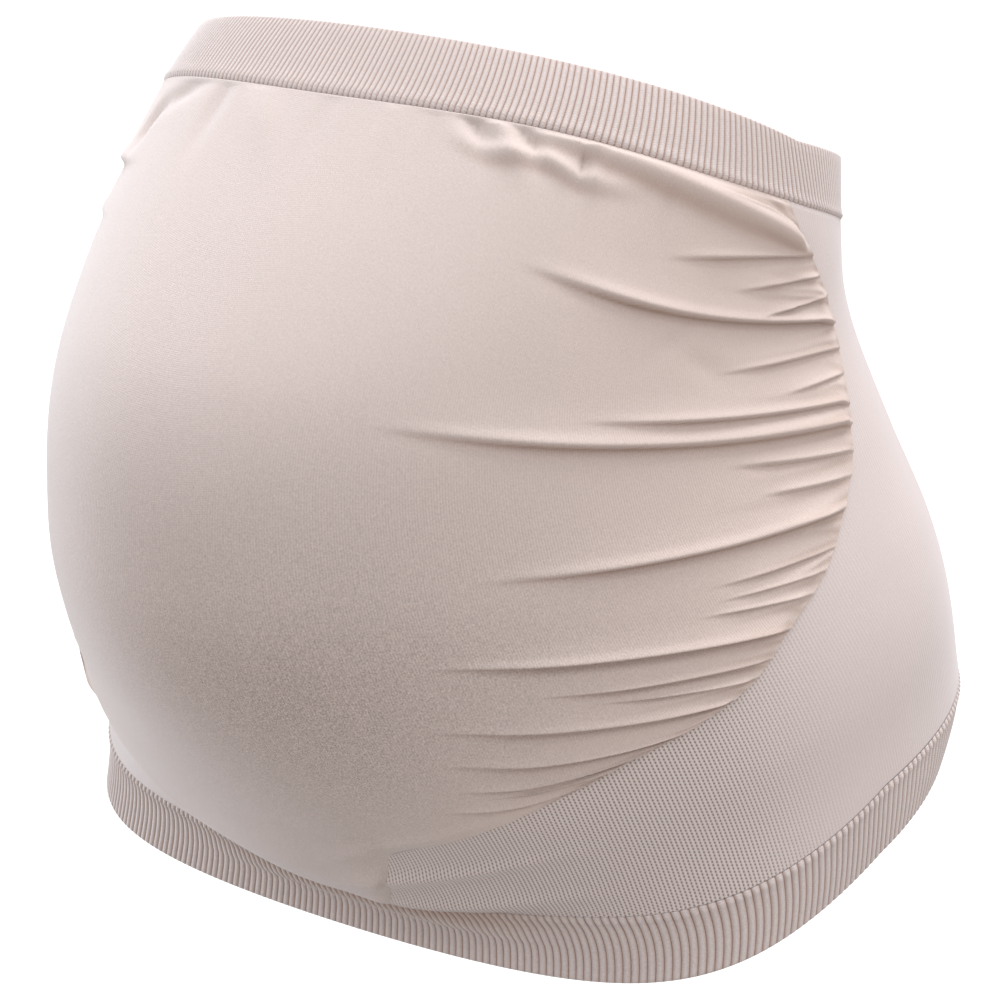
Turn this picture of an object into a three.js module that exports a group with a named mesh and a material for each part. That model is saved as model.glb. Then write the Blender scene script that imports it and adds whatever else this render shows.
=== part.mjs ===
// Maternity support belt: a seamless knitted tube, in the form that it takes when it is worn.
// A fine jersey belly panel is gathered into a U-shaped seam. A firmer support panel runs from that
// seam under the belly and round the back. A ribbed band closes the tube above and another below.
// Millimetres, +Z up. The wearer faces -Y, and the wearer's left is +X.
import * as THREE from 'three';

// Overall form: heights run from the lower rim to the upper rim, reaches from the body's axis
const SIDE_HEIGHT = 252;
const FRONT_HEIGHT = 331;
const BACK_HEIGHT = 189;
const HIP_WIDTH = 348;
const BELLY_REACH = 198;
const BACK_REACH = 129;

// Cloth
const UPPER_BAND_HEIGHT = 24;
const LOWER_BAND_HEIGHT = 23;
const BAND_WALL = 2.0;
const PANEL_WALL = 1.2;
const RIB_COUNT = 316;
const RIB_DEPTH = 0.7;
const FOLD_RISE = 5;
const SEAM_DIP = 1.2;
const SEAM_GAP = 0.5;
const BAND_GAP = 0.6;

// Levels of the tube from the lower rim, at 0, to the upper rim, at 1. The widths and reaches are
// shares of the hip width, belly reach and back reach, and the rises are shares of the side, front
// and back heights above the origin. A square share above 0 flattens a half ring, below 0 points it.
const SECTIONS = [
  { at: 0.00, width: 0.994, sideRise: -0.480, front: 0.490, frontRise: -0.492, back: 0.900, backRise: -0.439,
    frontSquare: 0.066, backSquare: 0.032 },
  { at: 0.08, width: 1.000, sideRise: -0.389, front: 0.510, frontRise: -0.429, back: 0.985, backRise: -0.339,
    frontSquare: 0.050, backSquare: 0.036 },
  { at: 0.12, width: 0.998, sideRise: -0.329, front: 0.571, frontRise: -0.393, back: 0.965, backRise: -0.296,
    frontSquare: 0.034, backSquare: 0.036 },
  { at: 0.22, width: 1.000, sideRise: -0.218, front: 0.712, frontRise: -0.311, back: 0.905, backRise: -0.190,
    frontSquare: 0.010, backSquare: 0.033 },
  { at: 0.38, width: 0.966, sideRise: -0.079, front: 0.914, frontRise: -0.160, back: 0.790, backRise: -0.026,
    frontSquare: -0.016, backSquare: 0.035 },
  { at: 0.54, width: 0.897, sideRise: 0.071, front: 1.000, frontRise: -0.027, back: 0.674, backRise: 0.159,
    frontSquare: -0.018, backSquare: 0.026 },
  { at: 0.72, width: 0.816, sideRise: 0.242, front: 0.929, frontRise: 0.169, back: 0.590, backRise: 0.360,
    frontSquare: 0.003, backSquare: 0.013 },
  { at: 0.92, width: 0.776, sideRise: 0.425, front: 0.500, frontRise: 0.456, back: 0.612, backRise: 0.439,
    frontSquare: 0.034, backSquare: 0.016 },
  { at: 1.00, width: 0.747, sideRise: 0.520, front: 0.419, frontRise: 0.508, back: 0.659, backRise: 0.561,
    frontSquare: 0.023, backSquare: 0.024 },
];

// Gathered seam at one side, from the corner of the U, at 0, up to the upper band, at 1. The angle is
// in degrees from the front. The height is the seam's share of the way from band to band, the middle
// is the height of the same course of stitches at the middle of the belly, and the bend is the power
// by which the course runs from one to the other.
const SEAM = [
  { at: 0.00, angle: 45.0, height: 0.208, middle: 0.020, bend: 0.85 },
  { at: 0.08, angle: 52.0, height: 0.232, middle: 0.140, bend: 1.20 },
  { at: 0.16, angle: 60.0, height: 0.251, middle: 0.210, bend: 1.60 },
  { at: 0.26, angle: 69.0, height: 0.290, middle: 0.310, bend: 2.00 },
  { at: 0.35, angle: 75.0, height: 0.348, middle: 0.370, bend: 2.00 },
  { at: 0.44, angle: 82.0, height: 0.414, middle: 0.440, bend: 2.00 },
  { at: 0.54, angle: 87.5, height: 0.500, middle: 0.530, bend: 2.00 },
  { at: 0.68, angle: 94.5, height: 0.652, middle: 0.740, bend: 2.00 },
  { at: 0.76, angle: 96.5, height: 0.745, middle: 0.820, bend: 2.00 },
  { at: 0.85, angle: 94.0, height: 0.843, middle: 0.890, bend: 2.00 },
  { at: 0.92, angle: 89.0, height: 0.920, middle: 0.945, bend: 2.00 },
  { at: 1.00, angle: 84.0, height: 1.000, middle: 1.000, bend: 2.00 },
];

// Folds of the belly panel, mirrored to both sides. Each starts where the seam column says, runs in
// for its length as a share of the way to the middle of the belly, and fades out. Width is a share
// of the seam's length, and rise a share of the deepest fold.
const FOLDS = [
  { seam: 0.030, length: 0.45, width: 0.018, rise: 0.45 },
  { seam: 0.100, length: 0.62, width: 0.024, rise: 0.70 },
  { seam: 0.150, length: 0.55, width: 0.022, rise: 0.75 },
  { seam: 0.190, length: 0.20, width: 0.016, rise: 0.45 },
  { seam: 0.228, length: 0.46, width: 0.024, rise: 0.85 },
  { seam: 0.285, length: 0.42, width: 0.022, rise: 0.75 },
  { seam: 0.335, length: 0.36, width: 0.022, rise: 0.80 },
  { seam: 0.410, length: 0.55, width: 0.030, rise: 1.00 },
  { seam: 0.470, length: 0.16, width: 0.018, rise: 0.45 },
  { seam: 0.540, length: 0.46, width: 0.026, rise: 0.65 },
  { seam: 0.575, length: 0.12, width: 0.016, rise: 0.40 },
  { seam: 0.610, length: 0.15, width: 0.018, rise: 0.45 },
  { seam: 0.648, length: 0.64, width: 0.026, rise: 0.85 },
  { seam: 0.692, length: 0.34, width: 0.022, rise: 0.55 },
  { seam: 0.740, length: 0.14, width: 0.018, rise: 0.45 },
  { seam: 0.800, length: 0.70, width: 0.028, rise: 0.95 },
  { seam: 0.850, length: 0.16, width: 0.018, rise: 0.45 },
  { seam: 0.890, length: 0.12, width: 0.016, rise: 0.40 },
  { seam: 0.925, length: 0.22, width: 0.020, rise: 0.50 },
  { seam: 0.965, length: 0.66, width: 0.026, rise: 1.00 },
];

// Form of one fold. Its tip is wider and its seam end lower by these shares, and it has risen in full
// after a share of its length. The sharpness is that of the bell curves of its ridge and crease.
const FOLD_TIP_WIDTH = 1.7;
const FOLD_SEAM_RISE = 0.6;
const FOLD_START = 0.7;
const RIDGE_SHARPNESS = 2;
const CREASE_SHARPNESS = 8;
const CREASE_DEPTH = 0.6;

// Soft edges of the belly panel: where across it the dip and the seam's gap start, and how far up
// and down it the gap and the flat strips beside the bands reach
const DIP_START = 0.94;
const GAP_START = 0.9;
const GAP_REACH = 0.5;
const FLAT_BOTTOM = 0.02;
const FLAT_TOP = 0.015;

// Angle of the place on the lower band from which the support panel's column runs up to the top of
// the seam, in degrees from the front
const SIDE_FOOT = 140;

// How finely each piece is divided
const BELLY_COLUMNS = 22;
const COURSE_GAP = 0.05;
const LEAST_COURSE_GAP = 0.008;
const SUPPORT_ROWS = 6;
const SUPPORT_BOTTOM_COLUMNS = 10;
const SUPPORT_BACK_COLUMNS = 16;
const RIBS_PER_INNER_COLUMN = 4;

// Value of a table's column at a place along it, on a smooth curve through the rows
function smooth(table, column, at) {
  const last = table.length - 1;
  let row = 0;
  while (row < last - 1 && at > table[row + 1].at) row += 1;
  const step = (i) => table[i + 1].at - table[i].at;
  const chord = (i) => (table[i + 1][column] - table[i][column]) / step(i);
  const inner = (i) => (chord(i - 1) * step(i) + chord(i) * step(i - 1)) / (step(i - 1) + step(i));
  const slope = (i) => {
    if (i === 0) return 1.5 * chord(0) - 0.5 * inner(1);
    if (i === last) return 1.5 * chord(last - 1) - 0.5 * inner(last - 1);
    return inner(i);
  };
  const width = step(row);
  const s = (at - table[row].at) / width;
  const risen = 3 * s * s - 2 * s * s * s;
  return (1 - risen) * table[row][column] + risen * table[row + 1][column]
    + (s * s * s - 2 * s * s + s) * width * slope(row)
    + (s * s * s - s * s) * width * slope(row + 1);
}

// Soft step from 0 at the first edge to 1 at the second
function softStep(from, to, x) {
  return THREE.MathUtils.smoothstep(x, from, to);
}

// Point of the worn tube at an angle from the front, in radians, and a level from rim to rim
function tubePoint(angle, level) {
  const inFront = Math.cos(angle) >= 0;
  const reach = inFront
    ? BELLY_REACH * smooth(SECTIONS, 'front', level)
    : BACK_REACH * smooth(SECTIONS, 'back', level);
  const square = smooth(SECTIONS, inFront ? 'frontSquare' : 'backSquare', level);
  const across = (Math.sin(angle) + square * Math.sin(3 * angle)) / (1 - square);
  const ahead = (Math.cos(angle) - square * Math.cos(3 * angle)) / (1 - square);
  const sideRise = SIDE_HEIGHT * smooth(SECTIONS, 'sideRise', level);
  const endRise = inFront
    ? FRONT_HEIGHT * smooth(SECTIONS, 'frontRise', level)
    : BACK_HEIGHT * smooth(SECTIONS, 'backRise', level);
  return new THREE.Vector3(
    (HIP_WIDTH / 2) * smooth(SECTIONS, 'width', level) * across,
    -reach * ahead,
    sideRise + (endRise - sideRise) * Math.abs(ahead),
  );
}

// Direction square to the tube, pointing out
function tubeNormal(angle, level) {
  const turn = 0.01;
  const climb = 0.004;
  const around = tubePoint(angle + turn, level).sub(tubePoint(angle - turn, level));
  const up = tubePoint(angle, level + climb).sub(tubePoint(angle, level - climb));
  return around.cross(up).normalize();
}

// Point beside the tube's surface, pushed out by a distance, or in where that is negative
function liftedPoint(angle, level, lift) {
  return tubePoint(angle, level).addScaledVector(tubeNormal(angle, level), lift);
}

// Level that lies a distance up from the lower rim, or down from the upper rim, at an angle
function levelFromRim(angle, distance, upper) {
  const span = 0.04;
  const rim = upper ? 1 : 0;
  const towards = upper ? -1 : 1;
  const length = tubePoint(angle, rim).distanceTo(tubePoint(angle, rim + towards * span));
  return rim + (towards * span * distance) / length;
}

// Level of a share of the way from the lower band to the upper band
function panelLevel(angle, share) {
  const low = levelFromRim(angle, LOWER_BAND_HEIGHT + BAND_GAP, false);
  const high = levelFromRim(angle, UPPER_BAND_HEIGHT + BAND_GAP, true);
  return low + (high - low) * share;
}

// Angles that share out the way round a level evenly by length
function evenAngles(level, count) {
  const samples = 1440;
  const travelled = [0];
  for (let i = 1; i <= samples; i += 1) {
    const before = tubePoint((2 * Math.PI * (i - 1)) / samples, level);
    const here = tubePoint((2 * Math.PI * i) / samples, level);
    travelled.push(travelled[i - 1] + before.distanceTo(here));
  }
  const angles = [];
  let sample = 0;
  for (let i = 0; i < count; i += 1) {
    const target = (travelled[samples] * i) / count;
    while (travelled[sample + 1] <= target) sample += 1;
    const part = (target - travelled[sample]) / (travelled[sample + 1] - travelled[sample]);
    angles.push((2 * Math.PI * (sample + part)) / samples);
  }
  return angles;
}

// Joins two rows of vertices with triangles. The second row may have fewer points than the first, and
// a closed row runs on from its last point to its first.
function joinRows(triangles, many, few, closed, facing) {
  const steps = closed ? many.length : many.length - 1;
  const ratio = closed ? many.length / few.length : (many.length - 1) / (few.length - 1);
  const place = (triangle) => triangles.push(...(facing > 0 ? triangle : triangle.reverse()));
  for (let i = 0; i < steps; i += 1) {
    const j = Math.floor(i / ratio);
    const nextMany = many[(i + 1) % many.length];
    place([many[i], nextMany, few[j]]);
    if ((i + 1) % ratio === 0) place([nextMany, few[(j + 1) % few.length], few[j]]);
  }
}

// Closed wall of cloth between an outer and an inner set of rows, listed from the bottom up
function clothWall(outerRows, innerRows, closed) {
  const positions = [];
  const place = (row) => row.map((point) => positions.push(point.x, point.y, point.z) / 3 - 1);
  const outer = outerRows.map(place);
  const inner = innerRows.map(place);
  const triangles = [];
  const join = (lower, upper, facing) => {
    if (lower.length >= upper.length) joinRows(triangles, lower, upper, closed, facing);
    else joinRows(triangles, upper, lower, closed, -facing);
  };
  for (let j = 0; j + 1 < outer.length; j += 1) {
    join(outer[j], outer[j + 1], 1);
    join(inner[j], inner[j + 1], -1);
  }
  join(outer[0], inner[0], -1);
  join(outer.at(-1), inner.at(-1), 1);
  if (!closed) {
    joinRows(triangles, outer.map((row) => row[0]), inner.map((row) => row[0]), false, 1);
    joinRows(triangles, outer.map((row) => row.at(-1)), inner.map((row) => row.at(-1)), false, -1);
  }
  const geometry = new THREE.BufferGeometry();
  geometry.setAttribute('position', new THREE.Float32BufferAttribute(positions, 3));
  geometry.setIndex(triangles);
  return geometry;
}

// Doubled band with upright ribs all the way round, standing on one rim of the tube
function ribBand(bandHeight, upper) {
  const levelAt = (angle, distance) => levelFromRim(angle, distance, upper);
  const outerAngles = evenAngles(upper ? 1 : 0, 2 * RIB_COUNT);
  const innerAngles = evenAngles(upper ? 1 : 0, RIB_COUNT / RIBS_PER_INNER_COLUMN);
  const distances = upper ? [bandHeight, 0] : [0, bandHeight];
  const ridge = (BAND_WALL - PANEL_WALL) / 2;
  const outerRow = (distance) => outerAngles.map((angle, i) => {
    const lift = i % 2 === 0 ? ridge : ridge - RIB_DEPTH;
    return liftedPoint(angle, levelAt(angle, distance), lift);
  });
  const innerRow = (distance) => innerAngles.map(
    (angle) => liftedPoint(angle, levelAt(angle, distance), ridge - BAND_WALL),
  );
  return clothWall(distances.map(outerRow), distances.map(innerRow), true);
}

// Angle and share of height of the belly panel at a course of stitches and a place across it, which
// runs from -1 at one seam through 0 at the middle to 1 at the other seam
function bellyPlace(across, course) {
  const end = smooth(SEAM, 'height', course);
  const middle = smooth(SEAM, 'middle', course);
  return {
    angle: THREE.MathUtils.degToRad(smooth(SEAM, 'angle', course)) * across,
    share: middle + (end - middle) * Math.abs(across) ** smooth(SEAM, 'bend', course),
  };
}

// How far the folds push the belly panel out, as a sum of soft ridges, each with a crease beneath it
function foldLift(across, course) {
  const side = Math.abs(across);
  let lift = 0;
  for (const fold of FOLDS) {
    const run = (side - (1 - fold.length)) / fold.length;
    const width = fold.width * (FOLD_TIP_WIDTH + (1 - FOLD_TIP_WIDTH) * run);
    const offset = (course - fold.seam) / width;
    const ridge = Math.exp(-RIDGE_SHARPNESS * offset ** 2);
    const crease = CREASE_DEPTH * Math.exp(-CREASE_SHARPNESS * (offset + 1) ** 2);
    const height = FOLD_RISE * fold.rise * (1 + (FOLD_SEAM_RISE - 1) * run);
    lift += height * softStep(0, FOLD_START, run) * (ridge - crease);
  }
  return lift;
}

// Courses of stitches on which the panels are divided: one on each fold's ridge and crease, the two
// edges, and evenly spaced ones where those lie far apart
function seamCourses() {
  const creases = FOLDS.flatMap((fold) => [fold.seam - fold.width, fold.seam]);
  const courses = [0];
  for (const course of [...creases, 1].sort((a, b) => a - b)) {
    const gap = course - courses.at(-1);
    const parts = Math.ceil(gap / COURSE_GAP);
    if (gap < LEAST_COURSE_GAP) continue;
    for (let i = parts - 1; i >= 0; i -= 1) courses.push(course - (gap * i) / parts);
  }
  return courses;
}

// Gathered pouch over the belly, from seam to seam and down to the bottom of the U
function bellyPanel() {
  const columns = [];
  for (let i = 0; i <= BELLY_COLUMNS; i += 1) {
    columns.push(Math.sin((Math.PI / 2) * ((2 * i) / BELLY_COLUMNS - 1)));
  }
  const place = (across, course, depth) => {
    const { angle, share } = bellyPlace(across, course);
    const dip = SEAM_DIP * softStep(DIP_START, 1, Math.abs(across));
    const free = softStep(0, FLAT_BOTTOM, course) * softStep(0, FLAT_TOP, 1 - course);
    const lift = foldLift(across, course) * free - dip;
    const seamGap = SEAM_GAP / (HIP_WIDTH / 2);
    const insetAngle = angle - Math.sign(angle) * softStep(GAP_START, 1, Math.abs(across)) * seamGap;
    const insetShare = share + (1 - softStep(0, GAP_REACH, course)) * (SEAM_GAP / SIDE_HEIGHT);
    return liftedPoint(insetAngle, panelLevel(insetAngle, insetShare), lift - depth);
  };
  const wall = (depth) => seamCourses().map((course) => columns.map((across) => place(across, course, depth)));
  return clothWall(wall(0), wall(PANEL_WALL), false);
}

// Upper edge of the support panel on one side, from the bottom of the U at 0, along the seam and the
// upper band, to the middle of the back at 1, each with the angle below it on the lower band
function supportColumns() {
  const corner = SEAM[0];
  const top = SEAM.at(-1);
  const columns = [];
  for (let i = 0; i < SUPPORT_BOTTOM_COLUMNS; i += 1) {
    const part = i / SUPPORT_BOTTOM_COLUMNS;
    const share = corner.middle + (corner.height - corner.middle) * part ** corner.bend;
    columns.push({ foot: corner.angle * part, angle: corner.angle * part, share });
  }
  for (const course of seamCourses().slice(0, -1)) {
    const foot = corner.angle + (SIDE_FOOT - corner.angle) * course;
    columns.push({ foot, angle: smooth(SEAM, 'angle', course), share: smooth(SEAM, 'height', course) });
  }
  for (let i = 0; i <= SUPPORT_BACK_COLUMNS; i += 1) {
    const part = i / SUPPORT_BACK_COLUMNS;
    const foot = SIDE_FOOT + (180 - SIDE_FOOT) * part;
    columns.push({ foot, angle: top.angle + (180 - top.angle) * part, share: top.height });
  }
  return columns;
}

// Firm knitted panel under the belly, up both sides and round the back, as one closed ring
function supportPanel() {
  const oneSide = supportColumns();
  const otherSide = oneSide.slice(1, -1).reverse().map(
    (column) => ({ foot: 360 - column.foot, angle: 360 - column.angle, share: column.share }),
  );
  const columns = [...oneSide, ...otherSide];
  const place = (column, part, depth) => {
    const angle = THREE.MathUtils.degToRad(column.foot + (column.angle - column.foot) * part * part);
    return liftedPoint(angle, panelLevel(angle, column.share * part), -depth);
  };
  const everySecond = columns.filter((column, i) => i % 2 === 0);
  const wall = (depth) => {
    const rows = [];
    for (let j = 0; j < SUPPORT_ROWS; j += 1) {
      rows.push(everySecond.map((column) => place(column, j / SUPPORT_ROWS, depth)));
    }
    return [...rows, columns.map((column) => place(column, 1, depth))];
  };
  return clothWall(wall(0), wall(PANEL_WALL), true);
}

// Named piece of cloth with its own colour
function piece(name, geometry, colour) {
  const material = new THREE.MeshStandardMaterial({ color: colour, roughness: 0.95, metalness: 0 });
  geometry.computeVertexNormals();
  const mesh = new THREE.Mesh(geometry, material);
  mesh.name = name;
  return mesh;
}

const belt = new THREE.Group();
belt.add(piece('upper_rib_band', ribBand(UPPER_BAND_HEIGHT, true), 0xd3c5c1));
belt.add(piece('belly_panel', bellyPanel(), 0xd4c7c3));
belt.add(piece('support_panel', supportPanel(), 0xc9bcb7));
belt.add(piece('lower_rib_band', ribBand(LOWER_BAND_HEIGHT, false), 0xcdc0bc));

export default belt;
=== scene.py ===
"""Maternity support belt in the form that it has when worn: its looks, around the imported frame."""

import bpy
import numpy as np
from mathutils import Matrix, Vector


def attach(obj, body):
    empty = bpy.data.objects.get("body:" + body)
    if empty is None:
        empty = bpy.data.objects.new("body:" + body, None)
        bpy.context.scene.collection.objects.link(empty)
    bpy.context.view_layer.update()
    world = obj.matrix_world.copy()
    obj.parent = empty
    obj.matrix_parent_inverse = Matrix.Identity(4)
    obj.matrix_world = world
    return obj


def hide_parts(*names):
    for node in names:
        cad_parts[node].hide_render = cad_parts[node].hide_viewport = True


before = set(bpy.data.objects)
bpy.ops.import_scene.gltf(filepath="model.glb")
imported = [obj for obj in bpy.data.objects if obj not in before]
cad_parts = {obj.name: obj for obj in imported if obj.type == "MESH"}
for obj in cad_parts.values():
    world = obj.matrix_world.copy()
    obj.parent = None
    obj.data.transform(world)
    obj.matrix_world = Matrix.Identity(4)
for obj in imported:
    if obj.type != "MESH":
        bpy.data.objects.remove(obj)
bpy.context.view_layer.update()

# Lower ribbed band. A doubled, ribbed welt of the same elastic yarn as the rest, knitted first, that
# grips the hips. Its ribs run upright over the rim and end in a row of small round heads at the top.
# The whole belt is one knitted tube, so the form of the tube is worked out here too.
SIDE_HEIGHT = 0.252
FRONT_HEIGHT = 0.331
BACK_HEIGHT = 0.189
HIP_WIDTH = 0.348
BELLY_REACH = 0.198
BACK_REACH = 0.129
LOWER_BAND_HEIGHT = 0.023
BAND_WALL = 0.0020
PANEL_WALL = 0.0012
RIB_COUNT = 316
RIB_DEPTH = 0.0007
MILLIMETRE = 0.001

# Levels of the tube from the lower rim to the upper rim, as shares of the sizes above
SECTION_COLUMNS = ("at", "width", "side_rise", "front", "front_rise", "back", "back_rise",
                   "front_square", "back_square")
SECTIONS = np.array([
    (0.00, 0.994, -0.480, 0.490, -0.492, 0.900, -0.439, 0.066, 0.032),
    (0.08, 1.000, -0.389, 0.510, -0.429, 0.985, -0.339, 0.050, 0.036),
    (0.12, 0.998, -0.329, 0.571, -0.393, 0.965, -0.296, 0.034, 0.036),
    (0.22, 1.000, -0.218, 0.712, -0.311, 0.905, -0.190, 0.010, 0.033),
    (0.38, 0.966, -0.079, 0.914, -0.160, 0.790, -0.026, -0.016, 0.035),
    (0.54, 0.897, 0.071, 1.000, -0.027, 0.674, 0.159, -0.018, 0.026),
    (0.72, 0.816, 0.242, 0.929, 0.169, 0.590, 0.360, 0.003, 0.013),
    (0.92, 0.776, 0.425, 0.500, 0.456, 0.612, 0.439, 0.034, 0.016),
    (1.00, 0.747, 0.520, 0.419, 0.508, 0.659, 0.561, 0.023, 0.024),
])


def smooth(table, columns, column, at):
    """Column of a table at places along it: a cubic between rows, whose slope at a row is the mean
    of the slopes on both sides, weighted by the other side's length."""
    x = table[:, 0]
    y = table[:, columns.index(column)]
    step = np.diff(x)
    chord = np.diff(y) / step
    slope = np.empty(len(x))
    slope[1:-1] = (chord[:-1] * step[1:] + chord[1:] * step[:-1]) / (step[:-1] + step[1:])
    slope[0] = 1.5 * chord[0] - 0.5 * slope[1]
    slope[-1] = 1.5 * chord[-1] - 0.5 * slope[-2]
    row = np.clip(np.searchsorted(x, at, side="right") - 1, 0, len(x) - 2)
    s = (at - x[row]) / step[row]
    risen = 3 * s**2 - 2 * s**3
    return ((1 - risen) * y[row] + risen * y[row + 1]
            + (s**3 - 2 * s**2 + s) * step[row] * slope[row]
            + (s**3 - s**2) * step[row] * slope[row + 1])


def tube_point(angle, level):
    """Point of the worn tube at an angle from the front and a level from rim to rim. Across it goes as
    the sine, ahead as the cosine, each with a share of its third harmonic that squares the ring."""
    angle, level = np.broadcast_arrays(np.asarray(angle, float), np.asarray(level, float))
    size = {name: smooth(SECTIONS, SECTION_COLUMNS, name, level) for name in SECTION_COLUMNS[1:]}
    in_front = np.cos(angle) >= 0
    reach = np.where(in_front, BELLY_REACH * size["front"], BACK_REACH * size["back"])
    square = np.where(in_front, size["front_square"], size["back_square"])
    across = (np.sin(angle) + square * np.sin(3 * angle)) / (1 - square)
    ahead = (np.cos(angle) - square * np.cos(3 * angle)) / (1 - square)
    side_rise = SIDE_HEIGHT * size["side_rise"]
    end_rise = np.where(in_front, FRONT_HEIGHT * size["front_rise"], BACK_HEIGHT * size["back_rise"])
    return np.stack([
        HIP_WIDTH / 2 * size["width"] * across,
        -reach * ahead,
        side_rise + (end_rise - side_rise) * np.abs(ahead),
    ], axis=-1)


def tube_normal(angle, level):
    """Unit direction square to the tube, out: the cross product of its slopes around and up."""
    turn = 0.01
    climb = 0.004
    around = tube_point(angle + turn, level) - tube_point(angle - turn, level)
    up = tube_point(angle, level + climb) - tube_point(angle, level - climb)
    out = np.cross(around, up)
    return out / np.linalg.norm(out, axis=-1, keepdims=True)


def lifted_point(angle, level, lift):
    """Point that lies a lift out from the tube, square to it."""
    return tube_point(angle, level) + tube_normal(angle, level) * np.asarray(lift)[..., None]


def level_from_rim(angle, distance, upper):
    """Level that lies a distance from the upper or the lower rim, by the tube's slope at the rim."""
    span = 0.04
    rim = 1.0 if upper else 0.0
    towards = -1 if upper else 1
    length = np.linalg.norm(tube_point(angle, rim) - tube_point(angle, rim + towards * span), axis=-1)
    return rim + towards * span * distance / length


def soft_step(start, end, x):
    """Rise from 0 at the start to 1 at the end, level at both: three squares less two cubes."""
    s = np.clip((x - start) / (end - start), 0, 1)
    return s * s * (3 - 2 * s)


def even_angles(level, ribs):
    """Angles at rib numbers that share out the way round a level evenly by length."""
    around = np.linspace(0, 2 * np.pi, 2881)
    ring = tube_point(around, level)
    travelled = np.concatenate([[0], np.cumsum(np.linalg.norm(np.diff(ring, axis=0), axis=1))])
    return np.interp(ribs / RIB_COUNT * travelled[-1], travelled, around)


def cloth_object(name, grid, knit, close_rows, close_columns, marks=None):
    """Mesh object from a grid of points, rows by columns. Each closed way runs on from its last line to
    its first. The knit grid of rib and course numbers becomes the UV map, one line longer each way that
    is closed, and each grid in marks becomes a vertex attribute of its name."""
    rows, columns = grid.shape[:2]
    row = np.arange(rows if close_rows else rows - 1)[:, None]
    column = np.arange(columns if close_columns else columns - 1)[None, :]
    next_row = (row + 1) % rows
    next_column = (column + 1) % columns
    corners = np.stack(np.broadcast_arrays(
        row * columns + column, row * columns + next_column,
        next_row * columns + next_column, next_row * columns + column), axis=-1).reshape(-1, 4)
    mesh = bpy.data.meshes.new(name)
    mesh.vertices.add(rows * columns)
    mesh.vertices.foreach_set("co", grid.reshape(-1).astype(np.float32))
    mesh.loops.add(corners.size)
    mesh.loops.foreach_set("vertex_index", corners.reshape(-1).astype(np.int32))
    mesh.polygons.add(len(corners))
    mesh.polygons.foreach_set("loop_start", np.arange(0, corners.size, 4, dtype=np.int32))
    mesh.update(calc_edges=True)
    mesh.shade_smooth()
    knit_corners = np.stack(np.broadcast_arrays(
        knit[row, column], knit[row, column + 1], knit[row + 1, column + 1], knit[row + 1, column]), axis=2)
    mesh.uv_layers.new(name="knit").data.foreach_set("uv", knit_corners.reshape(-1).astype(np.float32))
    for mark, values in (marks or {}).items():
        attribute = mesh.attributes.new(mark, "FLOAT", "POINT")
        attribute.data.foreach_set("value", values.reshape(-1).astype(np.float32))
    obj = bpy.data.objects.new(name, mesh)
    bpy.context.collection.objects.link(obj)
    return obj


def front_degrees(angle):
    """Angle from the front in degrees, from -180 to 180, of one in radians with any number of turns."""
    return np.degrees(np.mod(angle + np.pi, 2 * np.pi) - np.pi)


# Angles from the front, in degrees, between which the belly's push on the band rises and ends
PUSH_RISES = (-26, 2)
PUSH_ENDS = (8, 36)


def belly_front(angle):
    """Share of the belly's push on the band: full in front, and none round the sides."""
    degrees = front_degrees(angle)
    return soft_step(*PUSH_RISES, degrees) * (1 - soft_step(*PUSH_ENDS, degrees))


# Form of the ribs, of their heads at the seam, and of the push, which fades out towards the rim
RIB_PROFILE = np.array([0.0, 0.07, 0.18, 0.34, 0.5, 0.66, 0.82, 0.93])
RIB_ARCH = 0.45
HEAD_LENGTH = 0.0016
HEAD_RISE = 0.0005
SEAM_TUCK = 0.0004
BAND_PUSH = 0.0042
PUSH_FADES = (0.0080, 0.0135)
# Painted shadow of the overhanging belly on the lower band by the seam, and where it fades out
PUSH_SHADOW = 0.55
SHADOW_FADES = (0.003, 0.010)

# Rows of a band's face, of its rim, and the first ones by the seam as shares of the face
FACE_ROWS = 13
RIM_ROWS = 5
SEAM_ROWS = (0.0, 0.02, 0.045, 0.075)
EVEN_ROWS_FROM = 0.11


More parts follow.
